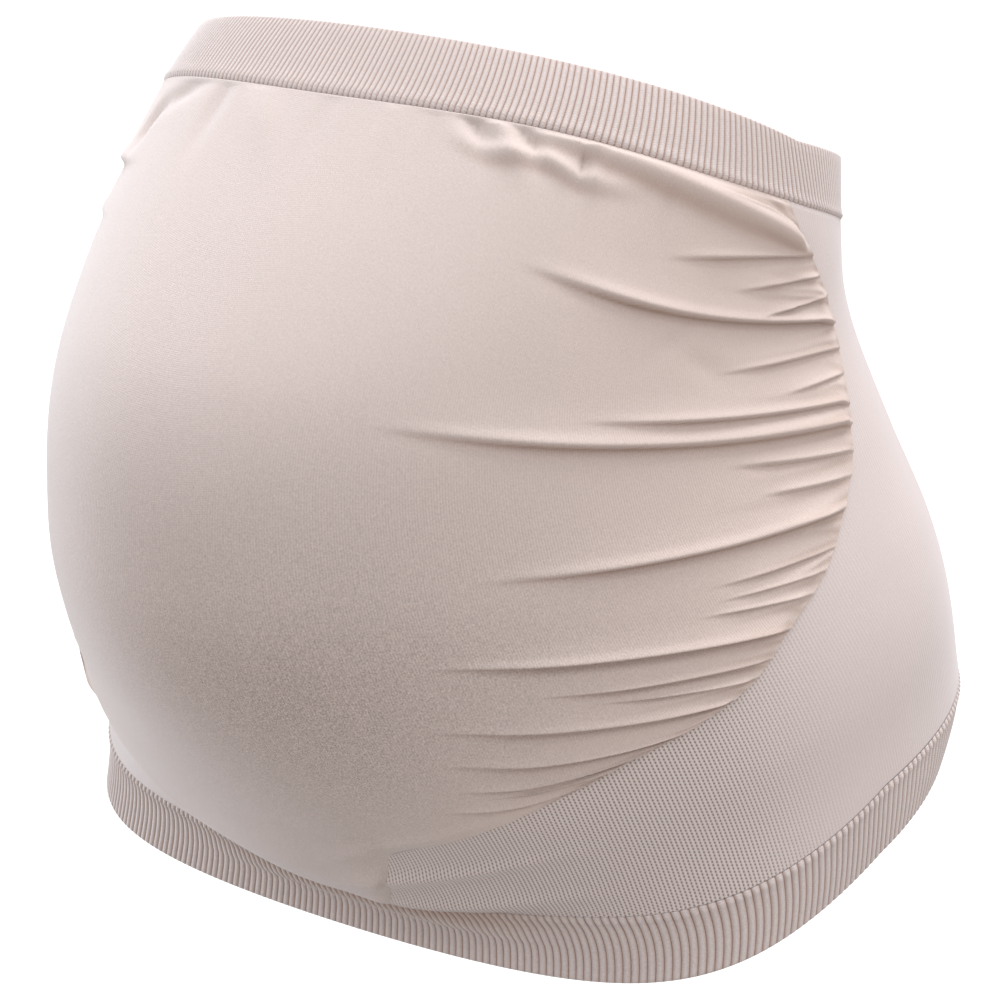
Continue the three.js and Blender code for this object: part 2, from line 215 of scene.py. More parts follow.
def rib_band(name, height, upper):
    """Welt as a closed profile carried round the rim: up the outer face, round the rim in a half
    circle, down the inner face and back. Each rib is a round arch, a sine to a power of just under a
    half, and its depth is taken off in the grooves between. At the seam each rib swells to a round
    head, and in front the belly pushes the lower band out by the seam."""
    ribs = (np.arange(RIB_COUNT)[:, None] + RIB_PROFILE).reshape(-1)
    arch = np.abs(np.sin(np.pi * ribs)) ** RIB_ARCH
    angle = even_angles(1.0 if upper else 0.0, ribs)
    radius = BAND_WALL / 2
    middle = (BAND_WALL - PANEL_WALL) / 2 - radius
    face = np.linspace(0, 1, FACE_ROWS)
    roll = np.linspace(0, np.pi, RIM_ROWS + 2)[1:-1]
    even_rows = np.linspace(EVEN_ROWS_FROM, 1, FACE_ROWS - len(SEAM_ROWS))
    seam_first = np.concatenate([SEAM_ROWS, even_rows])
    from_seam = (height - radius) * np.concatenate([seam_first, np.ones(len(roll)), 1 - face])
    over_rim = np.concatenate([np.zeros(FACE_ROWS), np.sin(roll), np.zeros(FACE_ROWS)]) * radius
    side = np.concatenate([np.ones(FACE_ROWS), np.cos(roll), -np.ones(FACE_ROWS)])
    head = HEAD_RISE * np.exp(-((from_seam - HEAD_LENGTH) / (0.6 * HEAD_LENGTH))**2) * (side > 0)
    tuck = SEAM_TUCK * (1 - soft_step(0, HEAD_LENGTH * 0.5, from_seam)) * (side > 0)
    distance = height - from_seam - over_rim
    relief = (head - tuck)[:, None] * (0.3 + 0.7 * arch[None, :])
    lift = middle + side[:, None] * (radius - RIB_DEPTH * (1 - arch[None, :])) + relief
    shadow = np.zeros(lift.shape)
    if not upper:
        front = belly_front(angle)[None, :]
        lift = lift + BAND_PUSH * ((1 - soft_step(*PUSH_FADES, from_seam))[:, None] * front)
        shadow = PUSH_SHADOW * (1 - soft_step(*SHADOW_FADES, from_seam))[:, None] * front
    grid = lifted_point(angle[None, :], level_from_rim(angle[None, :], distance[:, None], upper), lift)
    steps = np.hypot(np.diff(from_seam + over_rim), np.diff(side * radius))
    along = np.concatenate([[0], np.cumsum(steps)])
    along = np.append(along, along[-1] + BAND_WALL)
    knit = np.stack(np.meshgrid(np.append(ribs, RIB_COUNT), along / MILLIMETRE), axis=-1)
    # Painted shade: full down in the grooves between ribs, with the belly's painted shadow added by the
    # seam
    groove_and_overhang_shade = np.minimum(1 - arch[None, :] + shadow, 1)
    return cloth_object(name, grid[::-1], knit[::-1], True, True, {"groove_and_overhang_shade": groove_and_overhang_shade[::-1]})


def socket(tree, name, direction, kind="NodeSocketFloat", value=None):
    """Named input or output of a node group, with its usual value."""
    made = tree.interface.new_socket(name, in_out=direction, socket_type=kind)
    if value is not None:
        made.default_value = value


def math_node(tree, operation, first, second=None, third=None):
    """Math node whose inputs are numbers or other nodes' outputs, and its output."""
    node = tree.nodes.new("ShaderNodeMath")
    node.operation = operation
    for place, given in enumerate((first, second, third)):
        if given is None:
            continue
        if isinstance(given, (int, float)):
            node.inputs[place].default_value = given
        else:
            tree.links.new(given, node.inputs[place])
    return node.outputs[0]


def stitch_group():
    """Fine knit seen close, as the legs of stitches: each wale has two legs that lean against each
    other, so height is a sine of the course number shifted by the distance from the wale's middle."""
    tree = bpy.data.node_groups.new("knit_stitches", "ShaderNodeTree")
    socket(tree, "Wales per rib", "INPUT", value=2.0)
    socket(tree, "Courses per mm", "INPUT", value=1.1)
    socket(tree, "Lean", "INPUT", value=0.5)
    socket(tree, "Height", "OUTPUT")
    given = tree.nodes.new("NodeGroupInput")
    result = tree.nodes.new("NodeGroupOutput")
    knit = tree.nodes.new("ShaderNodeUVMap")
    knit.uv_map = "knit"
    parts = tree.nodes.new("ShaderNodeSeparateXYZ")
    tree.links.new(knit.outputs["UV"], parts.inputs[0])
    wale = math_node(tree, "MULTIPLY", parts.outputs["X"], given.outputs["Wales per rib"])
    across = math_node(tree, "ABSOLUTE", math_node(
        tree, "SUBTRACT", math_node(tree, "FRACT", wale), 0.5))
    course = math_node(tree, "MULTIPLY", parts.outputs["Y"], given.outputs["Courses per mm"])
    leaned = math_node(tree, "ADD", course, math_node(
        tree, "MULTIPLY", across, given.outputs["Lean"]))
    ripple = math_node(tree, "SINE", math_node(tree, "MULTIPLY", leaned, 2 * np.pi))
    ridge = math_node(tree, "COSINE", math_node(tree, "MULTIPLY", across, 2 * np.pi))
    wale_height = math_node(tree, "MULTIPLY_ADD", ridge, 0.5, 0.5)
    height = math_node(tree, "MULTIPLY_ADD", ripple, 0.22, wale_height)
    tree.links.new(height, result.inputs["Height"])
    return tree


def tone_group():
    """Yarn tone: soft cloudy change of shade over centimetres and a fine speckle of under a
    millimetre, both from noise on object coordinates, mixed by the depth towards a deep colour: painted
    shade in creases and grooves and under the belly, and the holes of the mesh."""
    tree = bpy.data.node_groups.new("yarn_tone", "ShaderNodeTree")
    socket(tree, "Yarn", "INPUT", "NodeSocketColor")
    socket(tree, "Deep", "INPUT", "NodeSocketColor")
    socket(tree, "Depth", "INPUT", value=0.0)
    socket(tree, "Cloud", "INPUT", value=0.04)
    socket(tree, "Speckle", "INPUT", value=0.05)
    socket(tree, "Color", "OUTPUT", "NodeSocketColor")
    given = tree.nodes.new("NodeGroupInput")
    result = tree.nodes.new("NodeGroupOutput")
    place = tree.nodes.new("ShaderNodeTexCoord")
    shades = []
    for scale, detail, amount in ((28, 3, "Cloud"), (1500, 2, "Speckle")):
        noise = tree.nodes.new("ShaderNodeTexNoise")
        noise.inputs["Scale"].default_value = scale
        noise.inputs["Detail"].default_value = detail
        tree.links.new(place.outputs["Object"], noise.inputs["Vector"])
        centred = math_node(tree, "SUBTRACT", noise.outputs["Fac"], 0.5)
        shades.append(math_node(tree, "MULTIPLY", centred, given.outputs[amount]))
    shade = math_node(tree, "ADD", math_node(tree, "ADD", shades[0], shades[1]), 1.0)
    mix = tree.nodes.new("ShaderNodeMix")
    mix.data_type = "RGBA"
    tree.links.new(given.outputs["Depth"], mix.inputs["Factor"])
    tree.links.new(given.outputs["Yarn"], mix.inputs["A"])
    tree.links.new(given.outputs["Deep"], mix.inputs["B"])
    scaled = tree.nodes.new("ShaderNodeVectorMath")
    scaled.operation = "SCALE"
    tree.links.new(mix.outputs["Result"], scaled.inputs[0])
    tree.links.new(shade, scaled.inputs["Scale"])
    tree.links.new(scaled.outputs[0], result.inputs["Color"])
    return tree


STITCHES = stitch_group()
TONE = tone_group()
BAND_YARN = (0.530, 0.466, 0.455, 1)
# Warm brown of the painted shade down in grooves, creases and tucks
PAINTED_SHADE_BROWN = (0.330, 0.210, 0.160, 1)


def cloth_material(name):
    """Matt cloth with a soft sheen, and its node tree and Principled node."""
    material = bpy.data.materials.new(name)
    material.use_nodes = True
    tree = material.node_tree
    shader = tree.nodes["Principled BSDF"]
    shader.inputs["Roughness"].default_value = 0.92
    shader.inputs["Specular IOR Level"].default_value = 0.25
    shader.inputs["Sheen Weight"].default_value = 0.35
    shader.inputs["Sheen Roughness"].default_value = 0.40
    shader.inputs["Sheen Tint"].default_value = (0.88, 0.92, 1.0, 1)
    return material, tree, shader


def placed(tree, group, **values):
    """Node group placed in a material with its own values, as numbers, colours or links."""
    node = tree.nodes.new("ShaderNodeGroup")
    node.node_tree = group
    for name, given in values.items():
        target = node.inputs[name.replace("_", " ")]
        if isinstance(given, bpy.types.NodeSocket):
            tree.links.new(given, target)
        else:
            target.default_value = given
    return node


def mark_output(tree, name):
    """Output of a vertex attribute."""
    node = tree.nodes.new("ShaderNodeAttribute")
    node.attribute_name = name
    return node.outputs["Fac"]


def bump(tree, shader, height, distance, strength):
    """Bump from a height output into the shader's normal. The distance is in metres."""
    node = tree.nodes.new("ShaderNodeBump")
    node.inputs["Strength"].default_value = strength
    node.inputs["Distance"].default_value = distance
    tree.links.new(height, node.inputs["Height"])
    tree.links.new(node.outputs["Normal"], shader.inputs["Normal"])


def rib_material():
    """Ribbed knit: stitches on every rib, and painted shade, warmer and darker, down in the grooves and
    by the lower band's seam, where the belly hangs over it.
    """
    material, tree, shader = cloth_material("rib_knit")
    stitches = placed(tree, STITCHES, Wales_per_rib=1.0, Courses_per_mm=1.25, Lean=1.0)
    groove_and_overhang_shade = math_node(tree, "POWER", mark_output(tree, "groove_and_overhang_shade"), 0.95)
    tone = placed(tree, TONE, Yarn=BAND_YARN, Deep=PAINTED_SHADE_BROWN, Depth=groove_and_overhang_shade, Cloud=0.05, Speckle=0.35)
    tree.links.new(tone.outputs["Color"], shader.inputs["Base Color"])
    bump(tree, shader, stitches.outputs["Height"], distance=0.0002, strength=0.7)
    return material


RIB_KNIT = rib_material()
lower_band = rib_band("lower_rib_band_knit", LOWER_BAND_HEIGHT, upper=False)
lower_band.data.materials.append(RIB_KNIT)
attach(lower_band, "root")
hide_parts("lower_rib_band")

# Support panel. One piece of firmer mesh knit that carries the weight of the belly. It runs under the
# belly, up both sides and round the back. Small staggered holes show where it is stretched, under the
# belly, and close up towards the sides and back. It grows out of the lower band.

# Gathered seam from the corner of the U, at 0, to the upper band, at 1. The angle is in degrees from
# the front, the height and the middle are shares of the way from band to band, at the seam and at the
# middle of the belly, and the bend is the power by which a course runs from one to the other.
SEAM_COLUMNS = ("at", "angle", "height", "middle", "bend")
SEAM = np.array([
    (0.00, 45.0, 0.208, 0.020, 0.85),
    (0.08, 52.0, 0.232, 0.140, 1.20),
    (0.16, 60.0, 0.251, 0.210, 1.60),
    (0.26, 69.0, 0.290, 0.310, 2.00),
    (0.35, 75.0, 0.348, 0.370, 2.00),
    (0.44, 82.0, 0.414, 0.440, 2.00),
    (0.54, 87.5, 0.500, 0.530, 2.00),
    (0.68, 94.5, 0.652, 0.740, 2.00),
    (0.76, 96.5, 0.745, 0.820, 2.00),
    (0.85, 94.0, 0.843, 0.890, 2.00),
    (0.92, 89.0, 0.920, 0.945, 2.00),
    (1.00, 84.0, 1.000, 1.000, 2.00),
])
PANEL_HEIGHT = 0.30
UPPER_BAND_HEIGHT = 0.024
BAND_GAP = 0.0001
SIDE_FOOT = 140.0

# Roll of the panels over the lower band, which is full at one share of their height and gone at another
OVERHANG_DROP = 0.0036
OVERHANG_LIFT = 0.0024
OVERHANG_FULL = 0.012
OVERHANG_GONE = 0.13

# Rows and columns of the mesh. The low rows lie closer, and the inner face has one row for so many.
SUPPORT_ROWS = 120
LOW_ROWS = 20
LOW_SHARE = 0.1
SUPPORT_COLUMNS = (60, 170, 90)
SUPPORT_INNER_STEP = 12

# Yarns, and where the mesh opens and closes, in degrees, and the belly's shadow on it ends, as shares
MESH_YARN = (0.550, 0.474, 0.456, 1)
OPEN_YARN = (0.600, 0.525, 0.508, 1)
HOLE_SHADE = (0.230, 0.160, 0.140, 1)
MESH_OPENS = (5, 15)
MESH_CLOSES = (58, 84)
MESH_SHADOW_FADES = (0.004, 0.024)


def seam_value(column, course):
    """Column of the seam's table at courses."""
    return smooth(SEAM, SEAM_COLUMNS, column, np.asarray(course, float))


def panel_level(angle, share):
    """Level of a share of the way from the lower band to the upper band."""
    low = level_from_rim(angle, LOWER_BAND_HEIGHT + BAND_GAP, False)
    high = level_from_rim(angle, UPPER_BAND_HEIGHT + BAND_GAP, True)
    return low + (high - low) * share


def overhang(angle, share):
    """Drop in share and lift of the panels where the belly's weight rolls them over the lower band, in
    front: none at the band, most close above it, and fading up the panel and round to the sides."""
    front = belly_front(angle)
    fade = 1 - soft_step(OVERHANG_FULL, OVERHANG_GONE, share)
    rolled = front * fade * soft_step(0, OVERHANG_FULL, share)
    return OVERHANG_DROP / PANEL_HEIGHT * rolled, OVERHANG_LIFT * rolled + BAND_PUSH * front * fade


def knit_numbers(angle, level):
    """Rib number round the tube, by length at each level, and course distance up it in millimetres,
    both read off a table of the tube by linear steps between its lines."""
    levels = np.linspace(0, 1, 81)
    angles = np.linspace(-np.pi, np.pi, 721)
    net = tube_point(angles[None, :], levels[:, None])
    around = np.cumsum(np.linalg.norm(np.diff(net, axis=1), axis=-1), axis=1)
    around = np.concatenate([np.zeros((len(levels), 1)), around], axis=1)
    ribs = RIB_COUNT * (around / around[:, -1:] - 0.5)
    up = np.cumsum(np.linalg.norm(np.diff(net, axis=0), axis=-1), axis=0) / MILLIMETRE
    up = np.concatenate([np.zeros((1, len(angles))), up], axis=0)
    turns = np.round(angle / (2 * np.pi))
    row = np.clip(level, 0, 1) * (len(levels) - 1)
    column = ((angle - 2 * np.pi * turns) / (2 * np.pi) + 0.5) * (len(angles) - 1)
    row_low = np.clip(row.astype(int), 0, len(levels) - 2)
    column_low = np.clip(column.astype(int), 0, len(angles) - 2)
    r = row - row_low
    c = column - column_low

    def read(table):
        """Table value between four neighbours."""
        lower = table[row_low, column_low] * (1 - c) + table[row_low, column_low + 1] * c
        upper = table[row_low + 1, column_low] * (1 - c) + table[row_low + 1, column_low + 1] * c
        return lower * (1 - r) + upper * r
    return np.stack([read(ribs) + RIB_COUNT * turns, read(up)], axis=-1)


def both_faces(outer, inner, step):
    """Rows of a closed wall: those of the outer face, and then one in so many of the inner face's,
    from the top down."""
    return np.concatenate([outer, inner[::-1][::step]], axis=0)


def support_columns():
    """Foot angle, top angle and top share of the support panel's columns, right round the tube."""
    bottom = np.linspace(0, 1, SUPPORT_COLUMNS[0], endpoint=False)
    course = np.linspace(0, 1, SUPPORT_COLUMNS[1], endpoint=False)
    back = np.linspace(0, 1, SUPPORT_COLUMNS[2] + 1)
    corner = dict(zip(SEAM_COLUMNS, SEAM[0]))
    top = dict(zip(SEAM_COLUMNS, SEAM[-1]))
    rise = corner["height"] - corner["middle"]
    foot = np.concatenate([
        corner["angle"] * bottom,
        corner["angle"] + (SIDE_FOOT - corner["angle"]) * course,
        SIDE_FOOT + (180 - SIDE_FOOT) * back])
    angle = np.concatenate([
        corner["angle"] * bottom,
        seam_value("angle", course),
        top["angle"] + (180 - top["angle"]) * back])
    share = np.concatenate([
        corner["middle"] + rise * bottom ** corner["bend"],
        seam_value("height", course),
        np.full(len(back), top["height"])])
    other = slice(-2, 0, -1)
    return (
        np.concatenate([foot, 360 - foot[other]]),
        np.concatenate([angle, 360 - angle[other]]),
        np.concatenate([share, share[other]]))


# Strain lines: share of the panel's height at the start, its change a degree, and rise in metres. They
# start so many degrees from the front, and their width is a share of the panel's height.
STRAIN_LINES = (
    (0.040, 0.0018, 0.0022),
    (0.014, 0.0005, 0.0016),
    (0.072, 0.0034, 0.0012),
)
STRAIN_START = 4
STRAIN_WIDTH = 0.0095
STRAIN_RISES = (2, 14)
STRAIN_ENDS = (20, 46)


def strain_lift(angle, share):
    """Lift of the strain lines in front: soft ridges that fan out from the band at the bottom of the
    belly and fade away round the side."""
    degrees = front_degrees(angle)
    lift = np.zeros(np.broadcast(angle, share).shape)
    for first, slope, rise in STRAIN_LINES:
        line = first + slope * (degrees - STRAIN_START)
        ridge = np.exp(-((share - line) / STRAIN_WIDTH)**2)
        lift += rise * ridge * soft_step(*STRAIN_RISES, degrees) * (1 - soft_step(*STRAIN_ENDS, degrees))
    return lift


def support_panel():
    """Ruled panel between the lower band and the seam: a column starts square to the band and leans
    to its place on the seam as the square of the way up."""
    foot, top_angle, top_share = support_columns()
    low = np.linspace(0, LOW_SHARE, LOW_ROWS, endpoint=False)
    high = np.linspace(LOW_SHARE, 1, SUPPORT_ROWS - LOW_ROWS)
    up = np.concatenate([low, high])[:, None]
    angle = np.radians(foot + (top_angle - foot) * up**2)
    share = top_share * up
    drop, lift = overhang(angle, share)
    lift = lift + strain_lift(angle, share)
    level = panel_level(angle, share - drop)
    outer = lifted_point(angle, level, lift)
    inner = lifted_point(angle, level, lift - PANEL_WALL)
    grid = both_faces(outer, inner, SUPPORT_INNER_STEP)
    closed = np.concatenate([angle, angle[:, :1] + 2 * np.pi], axis=1)
    knit = knit_numbers(closed, np.concatenate([level, level[:, :1]], axis=1))
    knit = both_faces(knit, knit, SUPPORT_INNER_STEP)
    knit = np.concatenate([knit, knit[:1]], axis=0)
    degrees = front_degrees(angle)
    marks = {
        "opened": soft_step(*MESH_OPENS, degrees) * (1 - soft_step(*MESH_CLOSES, degrees)),
        "shade": belly_front(angle) * (1 - soft_step(*MESH_SHADOW_FADES, share)),
    }
    marks = {name: both_faces(mark, mark, SUPPORT_INNER_STEP) for name, mark in marks.items()}
    return cloth_object("support_panel_knit", grid, knit, True, True, marks)


# Reach of a hole from its middle, as shares of a wale and of a course
HOLE_REACH_ACROSS = 0.21
HOLE_REACH_UP = 0.30


def mesh_hole_group():
    """Mesh of small holes: upright cords, and in the valley between each two cords one hole to each
    stitch, staggered by half a stitch from valley to valley. The hole is a soft ellipse."""
    tree = bpy.data.node_groups.new("mesh_holes", "ShaderNodeTree")
    socket(tree, "Wales per rib", "INPUT", value=2.0)
    socket(tree, "Holes per mm", "INPUT", value=0.75)
    socket(tree, "Hole", "OUTPUT")
    socket(tree, "Valley", "OUTPUT")
    given = tree.nodes.new("NodeGroupInput")
    result = tree.nodes.new("NodeGroupOutput")
    knit = tree.nodes.new("ShaderNodeUVMap")
    knit.uv_map = "knit"
    parts = tree.nodes.new("ShaderNodeSeparateXYZ")
    tree.links.new(knit.outputs["UV"], parts.inputs[0])
    wale = math_node(tree, "ADD", math_node(
        tree, "MULTIPLY", parts.outputs["X"], given.outputs["Wales per rib"]), 0.5)
    stagger = math_node(tree, "MULTIPLY", math_node(tree, "FLOORED_MODULO", math_node(
        tree, "FLOOR", wale), 2.0), 0.5)
    course = math_node(tree, "ADD", math_node(
        tree, "MULTIPLY", parts.outputs["Y"], given.outputs["Holes per mm"]), stagger)
    squares = []
    for place, reach in ((wale, HOLE_REACH_ACROSS), (course, HOLE_REACH_UP)):
        off = math_node(tree, "SUBTRACT", math_node(tree, "FRACT", place), 0.5)
        squares.append(math_node(tree, "POWER", math_node(
            tree, "ABSOLUTE", math_node(tree, "DIVIDE", off, reach)), 2.0))
    hole = math_node(tree, "EXPONENT", math_node(
        tree, "MULTIPLY", math_node(tree, "ADD", squares[0], squares[1]), -1.0))
    valley = math_node(tree, "EXPONENT", math_node(tree, "MULTIPLY", squares[0], -0.6))
    tree.links.new(hole, result.inputs["Hole"])
    tree.links.new(valley, result.inputs["Valley"])
    return tree


def mesh_material():
    """Mesh knit: cords with fine stitches, and holes and valleys whose depth follows the opened mark."""
    material, tree, shader = cloth_material("mesh_knit")
    open_mark = mark_output(tree, "opened")
    opened = math_node(tree, "MULTIPLY_ADD", open_mark, 0.92, 0.04)
    yarn = tree.nodes.new("ShaderNodeMix")
    yarn.data_type = "RGBA"
    tree.links.new(open_mark, yarn.inputs["Factor"])
    yarn.inputs["A"].default_value = MESH_YARN
    yarn.inputs["B"].default_value = OPEN_YARN
    stitches = placed(tree, STITCHES, Wales_per_rib=2.0, Courses_per_mm=1.5, Lean=0.6)
    holes = placed(tree, mesh_hole_group(), Wales_per_rib=2.0, Holes_per_mm=0.75)
    sunk = math_node(tree, "MULTIPLY_ADD", holes.outputs["Valley"], 0.20, holes.outputs["Hole"])
    sunk = math_node(tree, "MULTIPLY", sunk, opened)
    depth = math_node(tree, "MULTIPLY_ADD", mark_output(tree, "shade"), 0.5, sunk)
    tone = placed(tree, TONE, Yarn=yarn.outputs["Result"], Deep=HOLE_SHADE,
                  Depth=math_node(tree, "MINIMUM", depth, 1.0), Cloud=0.05, Speckle=0.16)
    tree.links.new(tone.outputs["Color"], shader.inputs["Base Color"])
    fine = math_node(tree, "MULTIPLY", stitches.outputs["Height"], 0.15)
    bump(tree, shader, math_node(tree, "SUBTRACT", fine, sunk), distance=0.0003, strength=0.8)
    return material


support = support_panel()
support.data.materials.append(mesh_material())
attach(support, "root")
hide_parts("support_panel")

# Belly panel. A pouch of fine jersey, longer than the sides of the belt, whose spare length is gathered
# into the seam at each side. Gathers spread from the seam, and the deepest run in as long soft rolls,
# each overhanging a crease, until the stretched cloth over the belly is smooth.

# Folds: course at the seam, course at the tip, reach as a share of the way to the middle of the belly,
# and width and rise in metres. The last three show on the wearer's left only.
FOLDS = (
    (0.020, 0.090, 0.52, 0.0060, 0.0016),
    (0.062, 0.110, 0.40, 0.0050, 0.0014),
    (0.102, 0.150, 0.50, 0.0075, 0.0026),
    (0.155, 0.207, 0.54, 0.0080, 0.0030),
    (0.217, 0.268, 0.56, 0.0085, 0.0032),
    (0.260, 0.292, 0.30, 0.0060, 0.0016),
    (0.295, 0.325, 0.40, 0.0075, 0.0026),
    (0.345, 0.412, 0.58, 0.0100, 0.0040),
    (0.400, 0.425, 0.20, 0.0055, 0.0014),
    (0.435, 0.446, 0.18, 0.0050, 0.0013),
    (0.470, 0.474, 0.20, 0.0060, 0.0016),
    (0.526, 0.553, 0.52, 0.0095, 0.0036),
    (0.570, 0.590, 0.16, 0.0050, 0.0014),
    (0.603, 0.632, 0.22, 0.0060, 0.0018),
    (0.640, 0.694, 0.68, 0.0090, 0.0038),
    (0.668, 0.700, 0.42, 0.0070, 0.0026),
    (0.712, 0.700, 0.14, 0.0050, 0.0014),
    (0.748, 0.742, 0.24, 0.0060, 0.0018),
    (0.790, 0.858, 0.56, 0.0095, 0.0038),
    (0.847, 0.815, 0.18, 0.0050, 0.0018),
    (0.885, 0.855, 0.20, 0.0055, 0.0018),
    (0.918, 0.886, 0.32, 0.0070, 0.0022),
)
LEFT_ONLY_FOLDS = 3
HIDDEN_REACH = 0.6

# Thin ridge, thick roll and pocket under the upper band: way across from the middle to the seam, course
# of the line there, and width and rise in metres
ROLL_COLUMNS = ("across", "line", "width", "rise")
RIDGE = np.array([
    (0.255, 0.978, 0.0034, 0.0000),
    (0.340, 0.958, 0.0034, 0.0018),
    (0.415, 0.962, 0.0034, 0.0024),
    (0.458, 0.960, 0.0032, 0.0024),
    (0.508, 0.950, 0.0032, 0.0022),
    (0.545, 0.950, 0.0034, 0.0016),
    (0.653, 0.960, 0.0040, 0.0000),
])
ROLL = np.array([
    (0.385, 0.995, 0.0038, 0.0000),
    (0.463, 0.993, 0.0038, 0.0016),
    (0.585, 0.988, 0.0048, 0.0030),
    (0.673, 0.983, 0.0054, 0.0040),
    (0.762, 0.976, 0.0058, 0.0048),
    (0.855, 0.966, 0.0060, 0.0052),
    (0.940, 0.954, 0.0058, 0.0050),
    (1.000, 0.936, 0.0048, 0.0040),
])
POCKET = np.array([
    (0.780, 0.986, 0.0040, 0.0000),
    (0.870, 0.982, 0.0040, 0.0016),
    (0.935, 0.976, 0.0040, 0.0020),
    (1.000, 0.954, 0.0040, 0.0014),
])

# Folds of the wearer's right side that show at the edge of the photo, with the columns of the folds
RIGHT_FOLDS = (
    (0.860, 0.832, 0.64, 0.0130, 0.0026),
    (0.900, 0.886, 0.66, 0.0140, 0.0030),
)

# Wrinkles: way across and course of the middle, length and width in metres, turn in degrees, and rise
WRINKLES = (
    (0.305, 0.982, 0.013, 0.0036, -42, -0.0026),
    (0.355, 0.985, 0.018, 0.0036, -40, 0.0022),
    (0.410, 0.976, 0.013, 0.0032, -38, -0.0026),
    (0.512, 0.965, 0.009, 0.0024, 88, -0.0026),
    (0.542, 0.975, 0.010, 0.0036, 84, 0.0022),
    (0.680, 0.930, 0.014, 0.0025, 82, -0.0010),
    (0.745, 0.755, 0.014, 0.0040, -35, -0.0009),
    (0.705, 0.800, 0.014, 0.0035, 40, -0.0008),
    (-0.356, 0.972, 0.020, 0.0050, -164, -0.0022),
    (-0.430, 0.934, 0.009, 0.0050, -126, -0.0030),
    (-0.211, 0.961, 0.013, 0.0050, -81, -0.0016),
    (-0.091, 0.956, 0.019, 0.0060, -36, 0.0010),
    (0.030, 0.972, 0.016, 0.0030, 92, -0.0007),
    (0.150, 0.970, 0.018, 0.0030, 95, 0.0008),
    (0.230, 0.960, 0.026, 0.0035, 100, -0.0008),
)

# Rows and columns of the mesh. The columns are partly crowded to the seams, and the inner face has one
# row for so many.
BELLY_COLUMNS = 168
BELLY_ROWS = 505
BELLY_INNER_STEP = 10
CROWDED_SHARE = 0.45

# Gathers of each seam, and the seeds of the two sides
GATHERS = 46
LEFT_GATHER_SEED = 7
RIGHT_GATHER_SEED = 11

# Lap and step of the panel over the seam, and how low it lies where it merges with the mesh in front
SEAM_LAP = 0.0005
SEAM_STEP = 0.0003
MERGE_DROP = 0.0009

# Pouch that hangs over the lower band: the share of the height that it comes down to, and its lift
POUCH_SHARE = 0.004
POUCH_LIFT = 0.0022

# Yarn over the belly, by the seams where it is relaxed, and darker over the belly's lower front
YARN = (0.540, 0.462, 0.440, 1)
RELAXED_YARN = (0.550, 0.455, 0.415, 1)
LOWER_FRONT_YARN = (0.445, 0.378, 0.360, 1)

# Share of a fold's width that its overhanging edge takes up, and the rises that give full painted shade in
# a tuck
FOLD_EDGE = 0.11
FULL_TUCK_RISE = 0.0035
FULL_POCKET_RISE = 0.0020


def fold_shape(down, width):
    """Height and crease mark of a fold at distances up the cloth from its line. Down the cloth a fold
    swells over its width to a narrow ridge, as two bells, and drops at once into a crease, a bell that
    the cloth below climbs out of. The crease mark is painted shade: dark in the crease, and under it a
    weaker painted brown shade that dies away over some millimetres."""
    edge = FOLD_EDGE * width
    above = np.maximum(down - edge, 0) / width
    body = 0.62 * np.exp(-(above / 0.27)**2) + 0.38 * np.exp(-(above / 0.9)**2)
    swell = soft_step(-0.35 * edge, edge, down) * body
    crease = np.exp(-((down + 0.3 * edge) / (0.8 * edge))**2)
    hollow = np.exp(-((down + 1.2 * edge) / (2.6 * edge))**2)
    glow = np.exp(np.minimum(down + 0.3 * edge, 0) / 0.0022) * (down < 0)
    return swell - 0.30 * hollow, np.clip(0.7 * crease + 0.38 * glow, 0, 1)


def fold_lift(side, course, folds):
    """Lift and tuck mark, painted shade in the creases, of folds on the positive side. A fold's line
    runs straight from its tip to the seam, and it fades in from the tip."""
    lift = np.zeros(side.shape)
    tuck = np.zeros(side.shape)
    for seam, tip, reach, width, rise in folds:
        run = (side - (1 - reach)) / reach
        down = (course - seam - (tip - seam) * (1 - run)) * PANEL_HEIGHT
        height, crease = fold_shape(down, width)
        present = 1.15 * soft_step(0, 0.4, run) * (1 - 0.25 * np.clip(run, 0, 1))
        lift += rise * present * height
        tuck = np.maximum(tuck, crease * present * np.clip(rise / FULL_TUCK_RISE, 0, 1))
    return lift, tuck


def roll_lift(across, course, table):
    """Lift and tuck mark of a soft roll whose line wanders as a table says: a bell across the line,
    with painted shade along its lower foot."""
    inside = np.clip(across, table[0, 0], table[-1, 0])
    line, width, rise = (smooth(table, ROLL_COLUMNS, name, inside) for name in ROLL_COLUMNS[1:])
    rise = np.maximum(rise, 0) * (across > table[0, 0]) * (across < table[-1, 0] + 0.01)
    down = (course - line) * PANEL_HEIGHT / width
    tuck = 0.55 * np.exp(-((down + 1.15) / 0.55)**2) * np.clip(rise / FULL_TUCK_RISE, 0, 1)
    return rise * np.exp(-down**2), tuck


def pocket_lift(across, course):
    """Lift and tuck mark, painted shade in its crease, of the pocket between the thick roll and the
    upper band: the shape of a fold turned upside down, so that it drops at its upper edge."""
    inside = np.clip(across, POCKET[0, 0], POCKET[-1, 0])
    line, width, rise = (smooth(POCKET, ROLL_COLUMNS, name, inside) for name in ROLL_COLUMNS[1:])
    rise = np.maximum(rise, 0) * (across > POCKET[0, 0])
    height, crease = fold_shape((line - course) * PANEL_HEIGHT, width)
    return rise * height, crease * np.clip(rise / FULL_POCKET_RISE, 0, 1)


